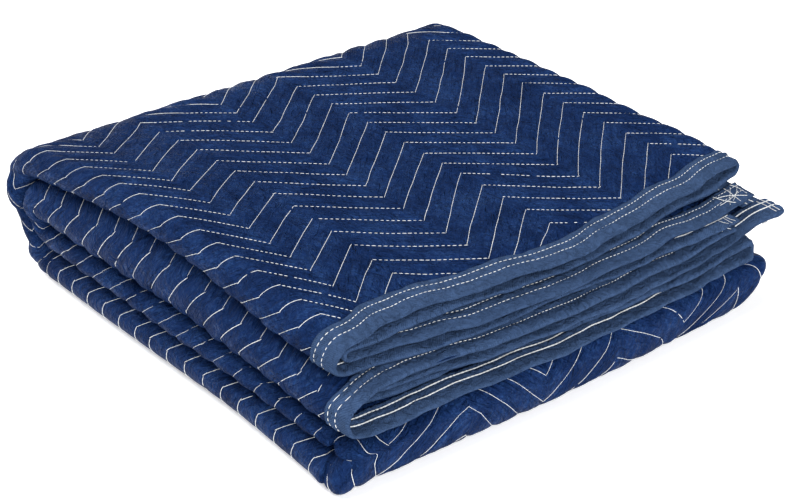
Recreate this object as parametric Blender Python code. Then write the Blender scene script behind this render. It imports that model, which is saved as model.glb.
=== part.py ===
"""Quilted moving blanket, folded into quarters both ways, with its sewn edge bindings."""

import math

import bmesh
import bpy
import numpy as np

# Driving dimensions, in metres.

# The bundle. X runs along the quilting rows, Y from the bound front to the back, Z up.
halfWidth = 0.2515        # from the middle to the crest of the side folds
frontFoldY = -0.226       # centre line of the fold along the front, under the bound edges
backFoldY = 0.206         # centre line of the two nested folds along the back
topEdgeY = -0.216         # bound edge of the top quarter
secondEdgeY = -0.241      # bound edge of the quarter below it

# One quarter of the stack is four layers of quilted cloth, here at its nominal loft.
clothThickness = 0.0085
layerGap = 0.002
innerFoldSetback = 0.003  # of the inner turn behind the side fold it lies in
packThickness = 4 * clothThickness + 3 * layerGap

# The four quarters from the floor up: how far each is pressed down by those above it.
quarterThickness = {"bottom": 0.027, "third": 0.023, "second": 0.045, "top": 0.037}
quarterGap = 0.002

# Binding tape, folded over the cloth's edge.
bindingWidth = 0.026
bindingThickness = 0.0011
bindingGap = 0.0008
endBindingGap = 0.0006    # between an end binding and the side binding that crosses it

# Quilting: zigzag rows sewn through both shells.
rowPitch = 0.0279
rowGrowth = 0.010         # how far the rows have spread by the panel's edges
rowsEachWay = 7           # from the panel's middle row to either edge
quiltRelief = 0.0025
puffShape = 0.8           # under 1, so the cloth between two rows is flat rather than peaked
bulgeRun = 0.012          # length over which the cloth fills out or the relief fades

# How the settled bundle leaves its square shape.
backLean = 0.007          # the side folds lean out at the back
backBelly = 0.013         # most at the middle of the stack
bellyHeight = 0.070
bellySpread = 0.030
sideWaver = 0.003         # and waver from fold to fold
waverPerHeight = 46       # radians of the waver per metre of height
waverPerReach = 8         # and per metre along the side
sideStart = (0.02, 0.08)  # distance from the middle at which the left side's height and lean begin
sideFull = (0.22, 0.25)   # and at which they are whole
endStart = 0.05           # distance from the middle at which the front's and back's own shape begins
endFull = 0.24
backFoot = 0.001          # their foot draws in at the back
sideFoot = 0.002          # and spreads a little all along
cornerDraw = 0.012        # the near corner draws in at the top
cornerFoot = 0.007        # and spreads at the floor
turnDraw = 0.007          # the far side draws in towards the floor
turnFoot = 0.034          # most at its front corner
turnSpread = 0.004        # and spreads at the back, at the top
turnTuck = 0.015          # the lower turn of the second quarter is tucked in at the front
tuckHeight = 0.064
tuckSpread = 0.013
footDraw = 0.005          # the front's foot draws back on the far side
frontBow = 0.012          # the front bows out in its middle
tipLift = 0.010           # the long tip rides up
tipHeight = 0.080
tipSpread = 0.030
tipStartX = 0.14
tipFullX = 0.27
footHeight = 0.050
middleSpread = 0.12       # smoothing of the tables of heights and reaches below
leftSpread = 0.06
edgeSpread = 0.02
endSpread = 0.08
edgeRun = (0.02, 0.19)    # share of the cloth's length or width that a bound edge's reach draws with it
endRun = (0.02, 0.20)

# Mesh steps.
stepsPerLeg = 6
stepsPerQuarter = 4
stepsPerOuterFold = 6
stepsPerInnerFold = 4
stepsPerSpine = 6
quiltStepX = 0.0137
quiltStepY = 0.0064

clothColor = (0.020, 0.062, 0.205)
bindingColor = (0.085, 0.150, 0.290)


# The folds: first across the width, then along the length.

def layerDepth(layer):
    """Depth of a layer's middle in the nominal pack; layer 0 is the inner face's, 3 the outer's."""
    return clothThickness / 2 + layer * (clothThickness + layerGap)


outerRadius = (layerDepth(3) - layerDepth(0)) / 2
innerRadius = (layerDepth(3) - layerDepth(2)) / 2
outerFoldX = -halfWidth + outerRadius + clothThickness / 2
innerFoldX = outerFoldX + innerFoldSetback
turnX = halfWidth - innerRadius - clothThickness / 2
lowerEndX = 0.238         # free bound end of the innermost layer
longEndX = 0.249          # free bound end of the layer that ends in the long tip

# The section across the width: a walk along the cloth, one row for each leg or turn.
# A turn's radius is signed: it is negative where the walk turns right.
crossPath = (
    # name,        length,                     radius
    ("lower leg",  lowerEndX - outerFoldX,     0.0),
    ("side fold",  math.pi * outerRadius,      -outerRadius),
    ("outer leg",  turnX - outerFoldX,         0.0),
    ("far turn",   math.pi * innerRadius,      -innerRadius),
    ("return leg", turnX - innerFoldX,         0.0),
    ("inner turn", math.pi * innerRadius,      innerRadius),
    ("tip leg",    longEndX - innerFoldX,      0.0),
)
clothLength = sum(row[1] for row in crossPath)

# The path through the stack: one row for each quarter or spine, from the top bound edge on.
quarterOrder = ("bottom", "third", "second", "top")
quarterBase = {}
baseHeight = 0.0
for quarter in quarterOrder:
    quarterBase[quarter] = baseHeight
    baseHeight += quarterThickness[quarter] + quarterGap

# Where each quarter starts and which way it runs; running back, it has the cloth's outer face up.
quarterRuns = {
    "top":    (topEdgeY, 1),
    "bottom": (backFoldY, -1),
    "third":  (frontFoldY, 1),
    "second": (backFoldY, -1),
}

# The folds that join them.
backSpineZ = quarterBase["second"] - quarterGap / 2
frontSpineZ = quarterBase["third"] - quarterGap / 2
spineSquareness = 2.8
spines = {
    # name:        (centre y,   centre z,    bulge, rising, outermost layer outside)
    "outer spine": (backFoldY,  backSpineZ,  0.84,  False,  True),
    "front spine": (frontFoldY, frontSpineZ, -0.97, True,   True),
    "inner spine": (backFoldY,  backSpineZ,  0.85,  True,   False),
}

stackPath = (
    # name,          from quarter, to quarter, length
    ("top",          "top",        "top",      backFoldY - topEdgeY),
    ("outer spine",  "top",        "bottom",   0.180),
    ("bottom",       "bottom",     "bottom",   backFoldY - frontFoldY),
    ("front spine",  "bottom",     "third",    0.072),
    ("third",        "third",      "third",    backFoldY - frontFoldY),
    ("inner spine",  "third",      "second",   0.050),
    ("second",       "second",     "second",   backFoldY - secondEdgeY),
)
clothWidth = sum(row[3] for row in stackPath)
stackHeight = baseHeight - quarterGap


def crossSection(s, h):
    """Place in the nominal pack (x, depth) of cloth at s along the width, h off its middle."""
    x = np.zeros_like(s)
    depth = np.zeros_like(s)
    start = 0.0
    placeX, placeDepth, heading = lowerEndX, layerDepth(0), math.pi
    for index, (name, length, radius) in enumerate(crossPath):
        last = index == len(crossPath) - 1
        here = (s >= start if index else s > -np.inf) & ((s < start + length) | last)
        run = s - start
        if radius == 0.0:
            angle = np.full_like(s, heading)
            alongX = placeX + run * math.cos(heading)
            alongDepth = placeDepth + run * math.sin(heading)
            nextX = placeX + length * math.cos(heading)
            nextDepth = placeDepth + length * math.sin(heading)
            nextHeading = heading
        else:
            centreX = placeX - radius * math.sin(heading)
            centreDepth = placeDepth + radius * math.cos(heading)
            angle = heading + run / radius
            alongX = centreX + radius * np.sin(angle)
            alongDepth = centreDepth - radius * np.cos(angle)
            nextHeading = heading + length / radius
            nextX = centreX + radius * math.sin(nextHeading)
            nextDepth = centreDepth - radius * math.cos(nextHeading)
        x = np.where(here, alongX - h * np.sin(angle), x)
        depth = np.where(here, alongDepth + h * np.cos(angle), depth)
        start += length
        placeX, placeDepth, heading = nextX, nextDepth, nextHeading
    return x, depth


def quarterPlace(quarter, run, share):
    """Place (y, z) in a flat quarter, at a share of its depth from the innermost layer out."""
    startY, way = quarterRuns[quarter]
    upward = share if way > 0 else 1 - share
    return startY + way * run, quarterBase[quarter] + quarterThickness[quarter] * upward


def clearance(quarter, height):
    """How far a quarter's near face lies from a height above or below it."""
    low = quarterBase[quarter]
    return max(low - height, height - low - quarterThickness[quarter])


def spinePlace(name, fromQuarter, toQuarter, angle, share):
    """Place (y, z) in the fold that joins two quarters, a squarish half ring."""
    centreY, centreZ, bulge, rising, outermostOutside = spines[name]
    blend = (1 - np.cos(angle)) / 2
    clear = clearance(fromQuarter, centreZ) * (1 - blend) + clearance(toQuarter, centreZ) * blend
    thick = quarterThickness[fromQuarter] * (1 - blend) + quarterThickness[toQuarter] * blend
    radius = clear + thick * (share if outermostOutside else 1 - share)
    power = spineSquareness
    radius = radius * (np.abs(np.sin(angle)) ** power + np.abs(np.cos(angle)) ** power) ** (-1 / power)
    rise = -np.cos(angle) if rising else np.cos(angle)
    return centreY + bulge * radius * np.sin(angle), centreZ + radius * rise


def stackPlace(t, share):
    """Reach and height (y, z) at t along the length, at a share of the pack's depth."""
    y = np.zeros_like(t)
    z = np.zeros_like(t)
    start = 0.0
    for index, (name, fromQuarter, toQuarter, length) in enumerate(stackPath):
        last = index == len(stackPath) - 1
        here = (t >= start if index else t > -np.inf) & ((t < start + length) | last)
        run = t - start
        if name in spines:
            angle = np.clip(run / length, 0, 1) * math.pi
            newY, newZ = spinePlace(name, fromQuarter, toQuarter, angle, share)
        else:
            newY, newZ = quarterPlace(name, run, share)
        y = np.where(here, newY, y)
        z = np.where(here, newZ, z)
        start += length
    return y, z


def smoothStep(value, low, high):
    share = np.clip((value - low) / (high - low), 0, 1)
    return share * share * (3 - 2 * share)


# Heights of the four quarters' tops once the bundle has settled, from its front to its back.
middleHeights = (
    # y,    bottom, third, second, top
    (-0.24, 0.025, 0.050, 0.094, 0.129),
    (-0.12, 0.026, 0.051, 0.096, 0.132),
    (0.05,  0.027, 0.052, 0.098, 0.134),
    (0.24,  0.027, 0.052, 0.098, 0.133),
)
leftHeights = (
    # y,    bottom, third, second, top
    (-0.24, 0.034, 0.047, 0.087, 0.122),
    (-0.16, 0.035, 0.055, 0.096, 0.131),
    (-0.08, 0.036, 0.059, 0.108, 0.141),
    (0.00,  0.036, 0.059, 0.119, 0.147),
    (0.08,  0.036, 0.060, 0.119, 0.147),
    (0.16,  0.035, 0.063, 0.113, 0.141),
    (0.24,  0.034, 0.066, 0.104, 0.131),
)


def blended(table, column, place, spread):
    """Smooth reading of a table's column at a place along its first column."""
    rows = np.array(table)
    weight = np.exp(-((place[..., None] - rows[:, 0]) / spread) ** 2)
    return (weight * rows[:, column]).sum(axis=-1) / weight.sum(axis=-1)


def settledHeight(x, y, z):
    """Height after the quarters have thinned or filled out; the floor stays flat."""
    leftSide = smoothStep(-x, sideStart[0], sideFull[0])
    levels = [0] + [quarterBase[name] - quarterGap / 2 for name in quarterOrder[1:]] + [stackHeight]
    height = np.zeros_like(z)
    below = np.zeros_like(z)
    for column, (low, high) in enumerate(zip(levels, levels[1:]), start=1):
        middle = blended(middleHeights, column, y, middleSpread)
        left = blended(leftHeights, column, y, leftSpread)
        above = middle + (left - middle) * leftSide
        share = (z - low) / (high - low)
        share = np.clip(share, 0 if low else -1, None if high == stackHeight else 1)
        height = np.where(z >= low, below + (above - below) * share, height)
        below = above
    return height


def settle(x, y, z):
    """The bundle's own unevenness: it leans and bows, and its quarters fill out differently."""
    height = z / stackHeight
    leftSide = smoothStep(-x, sideStart[1], sideFull[1])
    rightSide = smoothStep(x, sideStart[0], sideFull[1])
    atBack = smoothStep(y, -endStart, endFull)
    atFront = smoothStep(-y, endStart, endFull)
    foot = 1 - smoothStep(z, 0, footHeight)
    belly = backBelly * np.exp(-((z - bellyHeight) / bellySpread) ** 2)
    tuck = turnTuck * np.exp(-((z - tuckHeight) / tuckSpread) ** 2)
    newX = x - leftSide * atBack * (backLean * height + belly - backFoot * (1 - height))
    newX = newX - leftSide * (sideWaver * np.sin(waverPerHeight * z + waverPerReach * y) + sideFoot * foot)
    newX = newX + leftSide * atFront * (cornerDraw * height ** 2 - cornerFoot * foot)
    newX = newX - rightSide * (turnDraw * (1 - height) + atFront * (turnFoot * foot + tuck))
    newX = newX + rightSide * turnSpread * height * (1 - atFront)
    newY = y - frontBow * atFront * height * (1 - (x / halfWidth) ** 2)
    newY = newY + footDraw * rightSide * atFront * foot
    atTip = smoothStep(x, tipStartX, tipFullX) * atFront * np.exp(-((z - tipHeight) / tipSpread) ** 2)
    newZ = settledHeight(x, y, z) + tipLift * atTip * smoothStep(z, 0, footHeight)
    return newX, newY, newZ


# How far the bound edges stand out of (or, if negative, behind) their lines, along the cloth.
edgeReach = (
    # share of the length, top edge, second edge
    (0.00, 0.024, -0.004),
    (0.04, 0.020, 0.000),
    (0.08, 0.016, 0.003),
    (0.12, 0.015, 0.004),
    (0.16, 0.014, 0.001),
    (0.20, 0.008, -0.010),
    (0.225, 0.003, -0.010),
    (0.25, 0.000, 0.004),
    (0.30, -0.012, 0.004),
    (0.34, -0.004, 0.008),
    (0.38, 0.006, 0.011),
    (0.42, -0.005, 0.007),
    (0.46, -0.012, 0.006),
    (0.50, -0.021, 0.006),
    (0.55, -0.012, 0.003),
    (0.59, -0.002, -0.001),
    (0.63, 0.005, -0.006),
    (0.67, -0.001, -0.012),
    (0.71, -0.006, -0.018),
    (0.75, -0.004, -0.024),
    (0.79, 0.002, -0.016),
    (0.83, 0.015, 0.002),
    (0.87, 0.021, 0.005),
    (0.91, 0.017, 0.004),
    (0.95, 0.011, 0.002),
    (1.00, 0.006, -0.001),
)

# How far the two free ends reach past their lines, along the cloth's width.
endReach = (
    # share of the width, lower end, long tip
    (0.00, -0.038, -0.007),
    (0.20, -0.012, -0.006),
    (0.80, -0.012, 0.006),
    (0.95, -0.036, 0.020),
    (1.00, -0.040, 0.022),
)


def reach(s, t):
    """How far the free ends and the bound edges draw the cloth with them, along s and along t."""
    shareS = s / clothLength
    shareT = t / clothWidth
    outS = blended(endReach, 1, shareT, endSpread) * (1 - smoothStep(shareS, *endRun))
    outU = blended(endReach, 2, shareT, endSpread) * (1 - smoothStep(1 - shareS, *endRun))
    outT = blended(edgeReach, 1, shareS, edgeSpread) * (1 - smoothStep(shareT, *edgeRun))
    outV = blended(edgeReach, 2, shareS, edgeSpread) * (1 - smoothStep(1 - shareT, *edgeRun))
    return outS - outU, outT - outV


def fold(s, t, h):
    """World place of the point of flat cloth at s along the rows, t across them, h off its middle."""
    reachS, reachT = reach(s, t)
    x, depth = crossSection(s - reachS, h)
    y, z = stackPlace(t - reachT, depth / packThickness)
    return settle(x, y, z)


# Meshes are made in the flat, then folded.

def divided(lengths, counts):
    """Places of the mesh lines: each length in turn, divided into its own number of steps."""
    lines = [0.0]
    for length, count in zip(lengths, counts):
        start = lines[-1]
        lines += [start + length * (i + 1) / count for i in range(count)]
    return lines


def bindingLines(lines):
    """Adds a line along each binding's inner edge."""
    return [0.0, bindingWidth] + lines[1:-1] + [lines[-1] - bindingWidth, lines[-1]]


crossSteps = {"side fold": stepsPerOuterFold, "far turn": stepsPerInnerFold, "inner turn": stepsPerInnerFold}
sLines = bindingLines(divided([row[1] for row in crossPath],
                              [crossSteps.get(row[0], stepsPerLeg) for row in crossPath]))
tLines = bindingLines(divided([row[3] for row in stackPath],
                              [stepsPerQuarter if row[1] == row[2] else stepsPerSpine for row in stackPath]))

# The top panel: the outer layer of the top quarter, where the quilting is raised.
panelStartS = crossPath[0][1] + crossPath[1][1]
panelEndS = panelStartS + crossPath[2][1]
panelStartT = bindingWidth
panelEndT = stackPath[0][3]


# The corners of the panel's middle quilting row.
rowCorners = (
    # x,      how far across the cloth
    (-0.265,  0.251),
    (-0.247,  0.229),
    (-0.229,  0.226),
    (-0.1935, 0.1746),
    (-0.1356, 0.2173),
    (-0.0542, 0.1630),
    (0.0298,  0.2385),
    (0.1091,  0.1726),
    (0.2045,  0.2700),
    (0.288,   0.198),
)


def rowAt(s, t):
    """Number of the quilting row at a place, counted from the middle row; whole along a row."""
    x = s - panelStartS + outerFoldX
    middle = np.interp(x, [row[0] for row in rowCorners], [row[1] for row in rowCorners])
    run = (t - middle) / rowPitch
    return run - rowGrowth / rowPitch * np.clip(run / rowsEachWay, -1, 1) ** 2


def puff(s, t):
    """Loft between the quilting rows: 0 along a row, 1 half way to the next."""
    return np.sin(math.pi * (rowAt(s, t) % 1.0)) ** puffShape


def underBinding(s, t):
    """1 under the bindings, 0 beyond them."""
    inside = np.minimum(np.minimum(s, clothLength - s), np.minimum(t, clothWidth - t))
    return 1 - smoothStep(inside, bindingWidth, bindingWidth + bulgeRun)


def raised(s, t):
    """Share of the quilting's relief, which fades out at the panel's rim."""
    share = smoothStep(s, panelStartS, panelStartS + bulgeRun)
    share = share * (1 - smoothStep(s, panelEndS - bulgeRun, panelEndS))
    share = share * smoothStep(t, panelStartT, panelStartT + bulgeRun)
    return share * (1 - smoothStep(t, panelEndT - bulgeRun, panelEndT))


def evenlyFolded(s, t):
    """Moves the crossing of two mesh lines so that it folds to the same place in every layer."""
    reachS, reachT = reach(s, t)
    freeS = (s > bindingWidth + 1e-6) & (s < clothLength - bindingWidth - 1e-6)
    freeT = (t > bindingWidth + endBindingGap + 1e-6) & (t < clothWidth - bindingWidth - endBindingGap - 1e-6)
    return s + reachS * freeS, t + reachT * freeT


def spreadOut(bm, s, t, side):
    """Puts the mesh's vertices at their places in the flat."""
    for vert, *place in zip(bm.verts, *evenlyFolded(s, t), side):
        vert.co = place


def splitQuads(bm):
    """Cuts every quad from its low corner to its far one, so that skins that nest stay parallel."""
    for face in [face for face in bm.faces if len(face.verts) == 4]:
        corners = sorted(face.verts, key=lambda vert: sum(vert.co))
        if not any(edge.other_vert(corners[0]) == corners[-1] for edge in corners[0].link_edges):
            bmesh.utils.face_split(face, corners[0], corners[-1])


def foldedObject(name, bm, material, collection):
    """Folds a mesh made in the flat and hangs it in the scene."""
    wide = [face for face in bm.faces if len(face.verts) > 4]
    bmesh.ops.triangulate(bm, faces=wide, ngon_method="BEAUTY")
    splitQuads(bm)
    bmesh.ops.recalc_face_normals(bm, faces=bm.faces)
    mesh = bpy.data.meshes.new(name)
    bm.to_mesh(mesh)
    bm.free()
    flat = np.empty(len(mesh.vertices) * 3)
    mesh.vertices.foreach_get("co", flat)
    s, t, h = flat.reshape(-1, 3).T
    mesh.vertices.foreach_set("co", np.stack(fold(s, t, h), axis=1).ravel())
    mesh.materials.append(material)
    mesh.shade_smooth()
    mesh.set_sharp_from_angle(angle=math.radians(50))
    mesh.update()
    obj = bpy.data.objects.new(name, mesh)
    collection.objects.link(obj)
    return obj


def unitGrid(bm, stepsX, stepsY):
    """A grid whose vertices lie at whole numbers."""
    bmesh.ops.create_grid(bm, x_segments=stepsX, y_segments=stepsY, size=0.5)
    bmesh.ops.translate(bm, verts=bm.verts, vec=(0.5, 0.5, 0))
    bmesh.ops.scale(bm, verts=bm.verts, vec=(stepsX, stepsY, 1))


def cutPanel(bm, place, normal):
    """Cuts the top panel's faces, and only those, along one line."""
    faces = []
    for face in bm.faces:
        s, t, side = face.calc_center_median()
        if side > 0.5 and panelStartS < s < panelEndS and panelStartT < t < panelEndT:
            faces.append(face)
    edges = {edge for face in faces for edge in face.edges}
    verts = {vert for face in faces for vert in face.verts}
    geom = faces + list(edges) + list(verts)
    bmesh.ops.bisect_plane(bm, geom=geom, dist=1e-6, plane_co=place, plane_no=normal)


def finerLines(lines, low, high, step):
    """New lines about a step apart between the given lines, from low to high."""
    inRange = [line for line in lines if low - 1e-6 < line < high + 1e-6]
    finer = []
    for start, end in zip(inRange, inRange[1:]):
        count = round((end - start) / step)
        finer += [start + (end - start) * i / count for i in range(1, count)]
    return finer


def quiltedBody(material, collection):
    """The two shells with the batting between them, quilted into one thick cloth."""
    bm = bmesh.new()
    unitGrid(bm, len(sLines) - 1, len(tLines) - 1)
    s = np.array([sLines[round(vert.co.x)] for vert in bm.verts])
    t = np.array([tLines[round(vert.co.y)] for vert in bm.verts])
    spreadOut(bm, s, t, np.zeros_like(s))
    bmesh.ops.solidify(bm, geom=bm.faces[:], thickness=clothThickness)
    middle = sum(vert.co.z for vert in bm.verts) / len(bm.verts)
    for vert in bm.verts:
        vert.co.z = math.copysign(1, vert.co.z - middle)
    for line in finerLines(sLines, panelStartS, panelEndS, quiltStepX):
        cutPanel(bm, (line, 0, 0), (1, 0, 0))
    for line in finerLines(tLines, panelStartT, panelEndT, quiltStepY):
        cutPanel(bm, (0, line, 0), (0, 1, 0))
    s, t, side = np.array([vert.co[:] for vert in bm.verts]).T
    half = clothThickness / 2 - underBinding(s, t) * (bindingThickness + bindingGap)
    relief = np.where(side > 0, raised(s, t) * quiltRelief * (puff(s, t) - 0.5), 0)
    for vert, height in zip(bm.verts, side * half + relief):
        vert.co.z = height
    return foldedObject("quilted_body", bm, material, collection)


def tapeProfile():
    """The binding's section round the cloth's edge, as (inward from the edge, off the middle)."""
    outer = clothThickness / 2
    inner = outer - bindingThickness
    web = -bindingGap - bindingThickness
    around = [(bindingWidth, outer), (0.0, outer), (web, outer - bindingThickness)]
    inside = [(bindingWidth, inner), (-bindingGap, inner)]
    outside = around + [(inward, -h) for inward, h in reversed(around)]
    return outside + [(inward, -h) for inward, h in inside] + list(reversed(inside))


def binding(name, lines, alongRows, farEdge, material, collection):
    """One length of tape, folded over one edge of the cloth; its two ends are square."""
    profile = tapeProfile()
    bm = bmesh.new()
    unitGrid(bm, len(lines) - 1, len(profile))
    inward, h = np.array([profile[round(vert.co.y) % len(profile)] for vert in bm.verts]).T
    along = np.array([lines[round(vert.co.x)] for vert in bm.verts])
    across = farEdge - inward if farEdge else inward
    spreadOut(bm, *((along, across) if alongRows else (across, along)), h)
    bmesh.ops.remove_doubles(bm, verts=bm.verts, dist=1e-6)
    bmesh.ops.holes_fill(bm, edges=bm.edges, sides=len(profile))
    return foldedObject(name, bm, material, collection)


def clothMaterial(name, color, roughness, sheen):
    material = bpy.data.materials.new(name)
    material.use_nodes = True
    shader = material.node_tree.nodes["Principled BSDF"]
    shader.inputs["Base Color"].default_value = (*color, 1)
    shader.inputs["Roughness"].default_value = roughness
    shader.inputs["Metallic"].default_value = 0
    shader.inputs["Sheen Weight"].default_value = sheen
    return material


def movingBlanket():
    collection = bpy.data.collections.new("moving_blanket")
    bpy.context.scene.collection.children.link(collection)
    shell = clothMaterial("navy_shell", clothColor, 0.6, 0.3)
    tape = clothMaterial("slate_tape", bindingColor, 0.85, 0.2)
    overhang = bindingGap + bindingThickness
    sideLines = [-overhang] + sLines + [clothLength + overhang]
    clear = bindingWidth + endBindingGap
    endLines = [clear] + tLines[2:-2] + [clothWidth - clear]
    quiltedBody(shell, collection)
    binding("side_binding_top", sideLines, True, 0, tape, collection)
    binding("side_binding_second", sideLines, True, clothWidth, tape, collection)
    binding("end_binding_lower", endLines, False, 0, tape, collection)
    binding("end_binding_tip", endLines, False, clothLength, tape, collection)


for stale in list(bpy.data.objects):
    bpy.data.objects.remove(stale, do_unlink=True)
movingBlanket()
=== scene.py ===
import math

import bmesh
import bpy
import numpy as np
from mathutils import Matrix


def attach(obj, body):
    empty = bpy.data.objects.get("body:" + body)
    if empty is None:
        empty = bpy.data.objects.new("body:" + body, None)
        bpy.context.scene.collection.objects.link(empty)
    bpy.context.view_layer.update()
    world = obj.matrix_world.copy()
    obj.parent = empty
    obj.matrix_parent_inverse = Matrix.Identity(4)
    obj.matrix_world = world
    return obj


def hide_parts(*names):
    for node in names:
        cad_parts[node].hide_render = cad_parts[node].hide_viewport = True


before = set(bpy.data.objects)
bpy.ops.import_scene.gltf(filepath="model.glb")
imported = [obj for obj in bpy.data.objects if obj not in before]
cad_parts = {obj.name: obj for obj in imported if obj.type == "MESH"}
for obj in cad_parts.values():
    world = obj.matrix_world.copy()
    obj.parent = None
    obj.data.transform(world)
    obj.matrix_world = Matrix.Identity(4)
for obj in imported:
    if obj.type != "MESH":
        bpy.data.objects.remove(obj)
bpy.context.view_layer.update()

# The folded bundle, in metres. X runs along the quilting rows, Y from the bound front to the back.
bundle = {
    "halfWidth": 0.2515,       # middle to the crest of the side folds
    "frontFoldY": -0.226,      # fold along the front, under the bound edges
    "backFoldY": 0.206,        # the two nested folds along the back
    "topEdgeY": -0.216,        # bound edge of the top quarter
    "secondEdgeY": -0.241,     # bound edge of the quarter below it
    "thickness": 0.0085,       # one layer of quilted cloth
    "layerGap": 0.002,
    "quarterGap": 0.002,
    "lowerEndX": 0.238,        # free bound end of the innermost layer
    "longEndX": 0.249,         # free bound end with the long tip
    "squareness": 2.8,         # of the folds between the quarters
}
quarterThickness = {"bottom": 0.027, "third": 0.023, "second": 0.045, "top": 0.037}


def layerDepth(layer):
    return bundle["thickness"] / 2 + layer * (bundle["thickness"] + bundle["layerGap"])


packThickness = layerDepth(3) + bundle["thickness"] / 2
outerRadius = (layerDepth(3) - layerDepth(0)) / 2
innerRadius = (layerDepth(3) - layerDepth(2)) / 2
outerFoldX = -bundle["halfWidth"] + outerRadius + bundle["thickness"] / 2
innerFoldX = outerFoldX + 0.003
turnX = bundle["halfWidth"] - innerRadius - bundle["thickness"] / 2

# The section across the width, walked along the cloth; a negative radius turns right.
crossPath = (
    # name,        length,                           radius
    ("lower leg",  bundle["lowerEndX"] - outerFoldX, 0.0),
    ("side fold",  math.pi * outerRadius,            -outerRadius),
    ("outer leg",  turnX - outerFoldX,               0.0),
    ("far turn",   math.pi * innerRadius,            -innerRadius),
    ("return leg", turnX - innerFoldX,               0.0),
    ("inner turn", math.pi * innerRadius,            innerRadius),
    ("tip leg",    bundle["longEndX"] - innerFoldX,  0.0),
)
clothLength = sum(row[1] for row in crossPath)

quarterOrder = ("bottom", "third", "second", "top")
quarterBase = {}
stackHeight = -bundle["quarterGap"]
for quarter in quarterOrder:
    quarterBase[quarter] = stackHeight + bundle["quarterGap"]
    stackHeight = quarterBase[quarter] + quarterThickness[quarter]

# Where each quarter starts and which way it runs; running back, it has the cloth's outer face up.
quarterRuns = {
    "top":    (bundle["topEdgeY"], 1),
    "bottom": (bundle["backFoldY"], -1),
    "third":  (bundle["frontFoldY"], 1),
    "second": (bundle["backFoldY"], -1),
}
backSpineZ = quarterBase["second"] - bundle["quarterGap"] / 2
frontSpineZ = quarterBase["third"] - bundle["quarterGap"] / 2
spines = {
    # name:        (centre y,            centre z,    bulge, rising, outermost layer outside)
    "outer spine": (bundle["backFoldY"],  backSpineZ,  0.84,  False,  True),
    "front spine": (bundle["frontFoldY"], frontSpineZ, -0.97, True,   True),
    "inner spine": (bundle["backFoldY"],  backSpineZ,  0.85,  True,   False),
}
stackPath = (
    # name,         from and to,          length
    ("top",         "top",    "top",      bundle["backFoldY"] - bundle["topEdgeY"]),
    ("outer spine", "top",    "bottom",   0.180),
    ("bottom",      "bottom", "bottom",   bundle["backFoldY"] - bundle["frontFoldY"]),
    ("front spine", "bottom", "third",    0.072),
    ("third",       "third",  "third",    bundle["backFoldY"] - bundle["frontFoldY"]),
    ("inner spine", "third",  "second",   0.050),
    ("second",      "second", "second",   bundle["backFoldY"] - bundle["secondEdgeY"]),
)
clothWidth = sum(row[3] for row in stackPath)


# The parts of a path in turn: its row, how far the places are along it, and which lie in it.
def partsOf(path, column, places):
    start = 0.0
    for index, row in enumerate(path):
        here = (places >= start) | (index == 0)
        here &= (places < start + row[column]) | (index == len(path) - 1)
        yield row, places - start, here
        start += row[column]


# Place and heading a run along a part that starts at a place and heading, straight when its radius is 0.
def walked(startX, startDepth, heading, radius, run):
    if radius == 0.0:
        return startX + run * math.cos(heading), startDepth + run * math.sin(heading), heading + 0 * run
    angle = heading + run / radius
    x = startX - radius * math.sin(heading) + radius * np.sin(angle)
    return x, startDepth + radius * math.cos(heading) - radius * np.cos(angle), angle


# Place (x, depth) in the pack of cloth at s along the width, h off its middle.
def crossSection(s, h):
    x = np.zeros_like(s)
    depth = np.zeros_like(s)
    start = bundle["lowerEndX"], layerDepth(0), math.pi
    for (_, length, radius), run, here in partsOf(crossPath, 1, s):
        alongX, alongDepth, angle = walked(*start, radius, run)
        x = np.where(here, alongX - h * np.sin(angle), x)
        depth = np.where(here, alongDepth + h * np.cos(angle), depth)
        start = walked(*start, radius, length)
    return x, depth


def clearance(quarter, height):
    low = quarterBase[quarter]
    return max(low - height, height - low - quarterThickness[quarter])


# Place (y, z) in the fold that joins two quarters, a squarish half ring.
def spinePlace(name, fromQuarter, toQuarter, angle, share):
    centreY, centreZ, bulge, rising, outermostOutside = spines[name]
    blend = (1 - np.cos(angle)) / 2
    clear = clearance(fromQuarter, centreZ) * (1 - blend) + clearance(toQuarter, centreZ) * blend
    thick = quarterThickness[fromQuarter] * (1 - blend) + quarterThickness[toQuarter] * blend
    radius = clear + thick * (share if outermostOutside else 1 - share)
    power = bundle["squareness"]
    radius *= (np.abs(np.sin(angle)) ** power + np.abs(np.cos(angle)) ** power) ** (-1 / power)
    rise = -np.cos(angle) if rising else np.cos(angle)
    return centreY + bulge * radius * np.sin(angle), centreZ + radius * rise


# Reach and height (y, z) at t along the length, at a share of the pack's depth.
def stackPlace(t, share):
    y = np.zeros_like(t)
    z = np.zeros_like(t)
    for (name, fromQuarter, toQuarter, length), run, here in partsOf(stackPath, 3, t):
        if name in spines:
            angle = np.clip(run / length, 0, 1) * math.pi
            newY, newZ = spinePlace(name, fromQuarter, toQuarter, angle, share)
        else:
            startY, way = quarterRuns[name]
            newY = startY + way * run
            newZ = quarterBase[name] + quarterThickness[name] * (share if way > 0 else 1 - share)
        y = np.where(here, newY, y)
        z = np.where(here, newZ, z)
    return y, z


def smoothStep(value, low, high):
    share = np.clip((value - low) / (high - low), 0, 1)
    return share * share * (3 - 2 * share)


# A smooth hump: 1 at its place, and next to nothing twice its spread away.
def hump(value, place, spread, power=2):
    return np.exp(-((value - place) / spread) ** power)


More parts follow.
